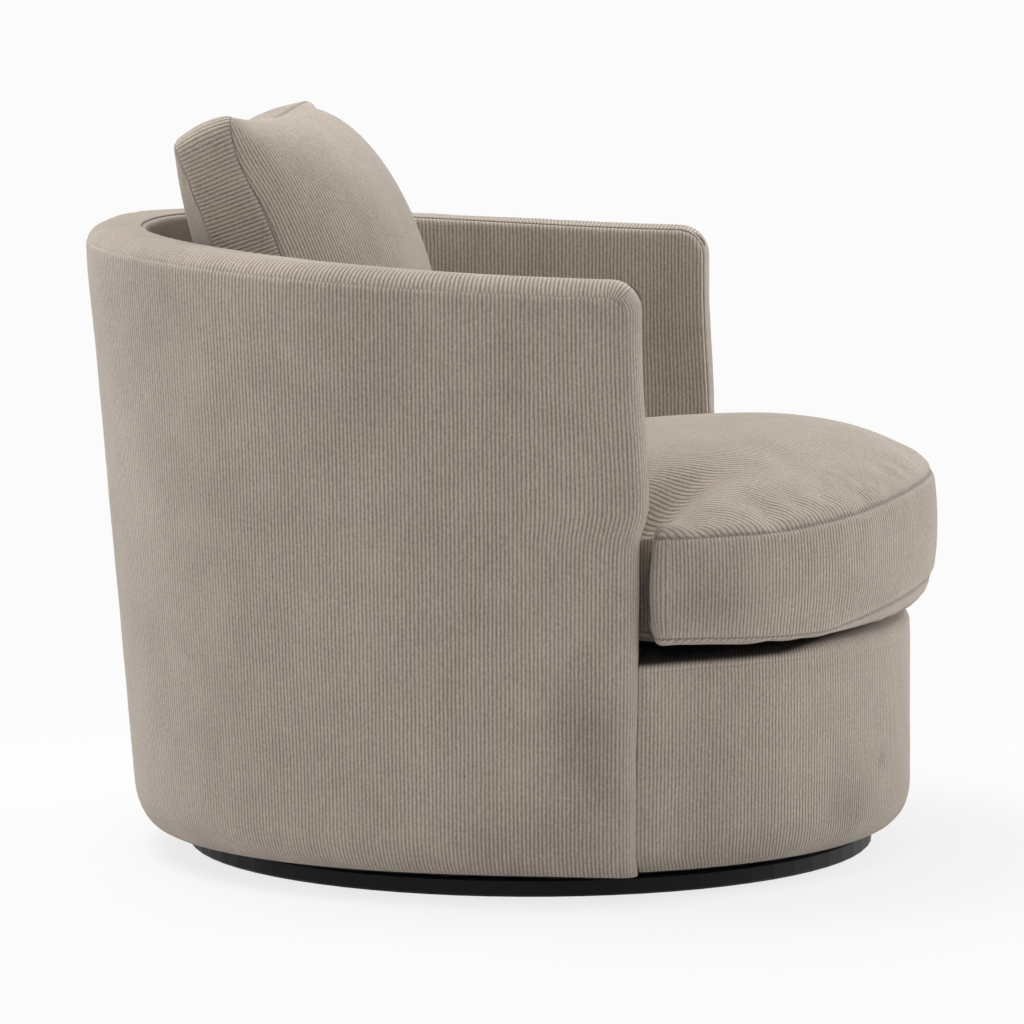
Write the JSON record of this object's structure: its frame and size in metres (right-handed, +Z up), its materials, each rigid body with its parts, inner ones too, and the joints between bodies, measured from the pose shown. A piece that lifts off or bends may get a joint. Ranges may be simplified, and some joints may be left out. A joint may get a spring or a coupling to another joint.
{
  "type": "swivel barrel chair",
  "caption": "Low upholstered barrel armchair on a ball-bearing swivel and a round plinth, with a loose T-shaped seat cushion and a plump loose back cushion.",
  "frame": {"origin": "on the floor, on the swivel axis, at the bottom of the middle glide", "axes": "+Z up; -Y is the chair's front; +X is the sitter's left"},
  "size_m": [0.8034, 0.854, 0.7391],
  "materials": {
    "cord_fabric": "matte",
    "deck_cloth": "matte",
    "dust_cloth": "matte",
    "plywood": "matte",
    "plinth_paint": "satin",
    "glide_plastic": "matte",
    "plate_steel": "satin",
    "ball_steel": "polished"
  },
  "bodies": {
    "base": {"base_plinth": "plinth_paint", "base_glide_middle": "glide_plastic", "base_glide_01": "glide_plastic", "base_glide_02": "glide_plastic", "base_glide_03": "glide_plastic", "base_glide_04": "glide_plastic", "base_glide_05": "glide_plastic", "base_glide_06": "glide_plastic", "swivel_lower_plate": "plate_steel", "plate_screw_01": "plate_steel", "plate_screw_02": "plate_steel", "plate_screw_03": "plate_steel", "plate_screw_04": "plate_steel", "pivot_stud": "plate_steel", "pivot_flange_nut": "plate_steel"},
    "ball_cage": {"ball_retainer": "plate_steel", "bearing_ball_01": "ball_steel", "bearing_ball_02": "ball_steel", "bearing_ball_03": "ball_steel", "bearing_ball_04": "ball_steel", "bearing_ball_05": "ball_steel", "bearing_ball_06": "ball_steel", "bearing_ball_07": "ball_steel", "bearing_ball_08": "ball_steel", "bearing_ball_09": "ball_steel", "bearing_ball_10": "ball_steel", "bearing_ball_11": "ball_steel", "bearing_ball_12": "ball_steel"},
    "barrel": {"swivel_upper_plate": "plate_steel", "seat_bolt_01": "plate_steel", "seat_bolt_02": "plate_steel", "seat_bolt_03": "plate_steel", "seat_bolt_04": "plate_steel", "bottom_panel": "plywood", "seat_ring": "plywood", "top_rail": "plywood", "arm_post_right": "plywood", "arm_post_left": "plywood", "back_post_right": "plywood", "back_post_middle": "plywood", "back_post_left": "plywood", "front_rail_board": "plywood", "seat_spring_01": "plate_steel", "seat_spring_02": "plate_steel", "seat_spring_03": "plate_steel", "seat_spring_04": "plate_steel", "seat_spring_05": "plate_steel", "outside_cover": "cord_fabric", "inside_cover": "cord_fabric", "top_band": "cord_fabric", "front_rail_cover": "cord_fabric", "deck": "deck_cloth", "dust_cover": "dust_cloth"},
    "seat_pad": {"seat_cushion": "cord_fabric"},
    "back_pad": {"back_cushion": "cord_fabric"}
  },
  "joints": [
    {"name": "seat_swivel", "type": "hinge", "parent": "base", "child": "barrel", "pos_m": [0, 0, 0.0291], "axis": [0, 0, 1], "continuous": true},
    {"name": "cage_turn", "type": "hinge", "parent": "base", "child": "ball_cage", "pos_m": [0, 0, 0.0291], "axis": [0, 0, 1], "continuous": true},
    {"name": "seat_cushion_lift", "type": "slide", "parent": "barrel", "child": "seat_pad", "axis": [0, 0, 1], "range_m": [0, 0.35]},
    {"name": "back_cushion_lift", "type": "slide", "parent": "seat_pad", "child": "back_pad", "axis": [0, 0, 1], "range_m": [0, 0.35]}
  ],
  "couplings": [
    {"joint": "cage_turn", "follows": "seat_swivel", "ratio": 0.5}
  ]
}
